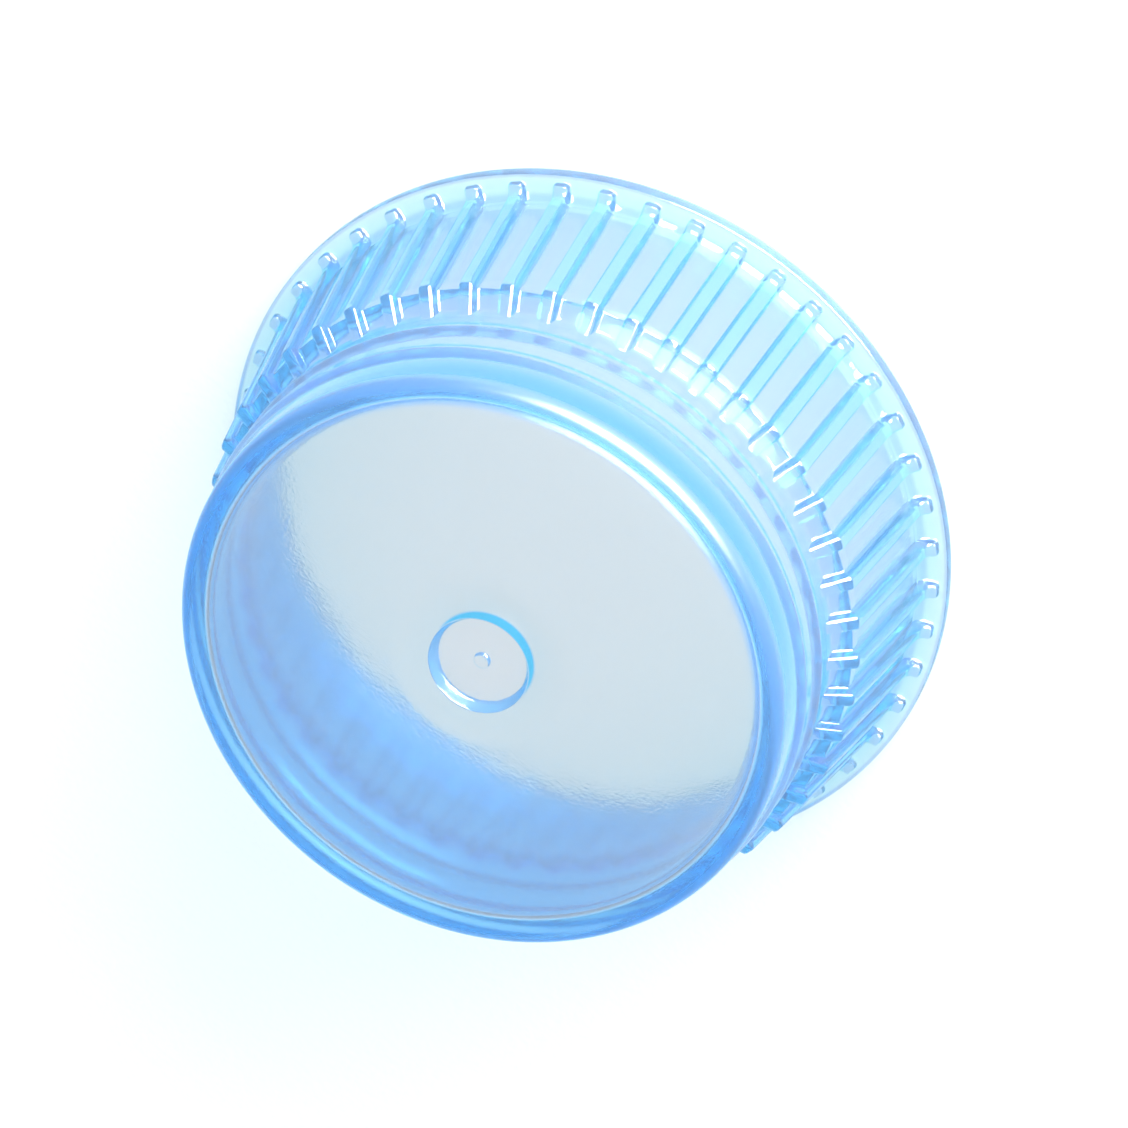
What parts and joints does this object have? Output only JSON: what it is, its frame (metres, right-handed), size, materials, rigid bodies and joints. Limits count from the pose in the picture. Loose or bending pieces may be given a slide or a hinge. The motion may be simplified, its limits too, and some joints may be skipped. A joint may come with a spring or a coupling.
{
  "type": "laboratory tube plug cap",
  "caption": "Moulded translucent plug cap for a small laboratory tube: a closed plug with low sealing rings, a sloped shoulder and a flared, ribbed grip with a thin flange at its open end.",
  "frame": {"origin": "centre of the flange's open face, on the axis of the round shape", "axes": "+Z along the axis from the open flange to the closed end of the plug; +X through the middle of a rib"},
  "size_m": [0.0168, 0.0168, 0.0077],
  "materials": {
    "stopper_plastic": "light blue translucent polyethylene, glossy on the outside wall, finely frosted on the closed disc"
  },
  "bodies": {
    "root": {"stopper": "stopper_plastic"}
  },
  "joints": []
}
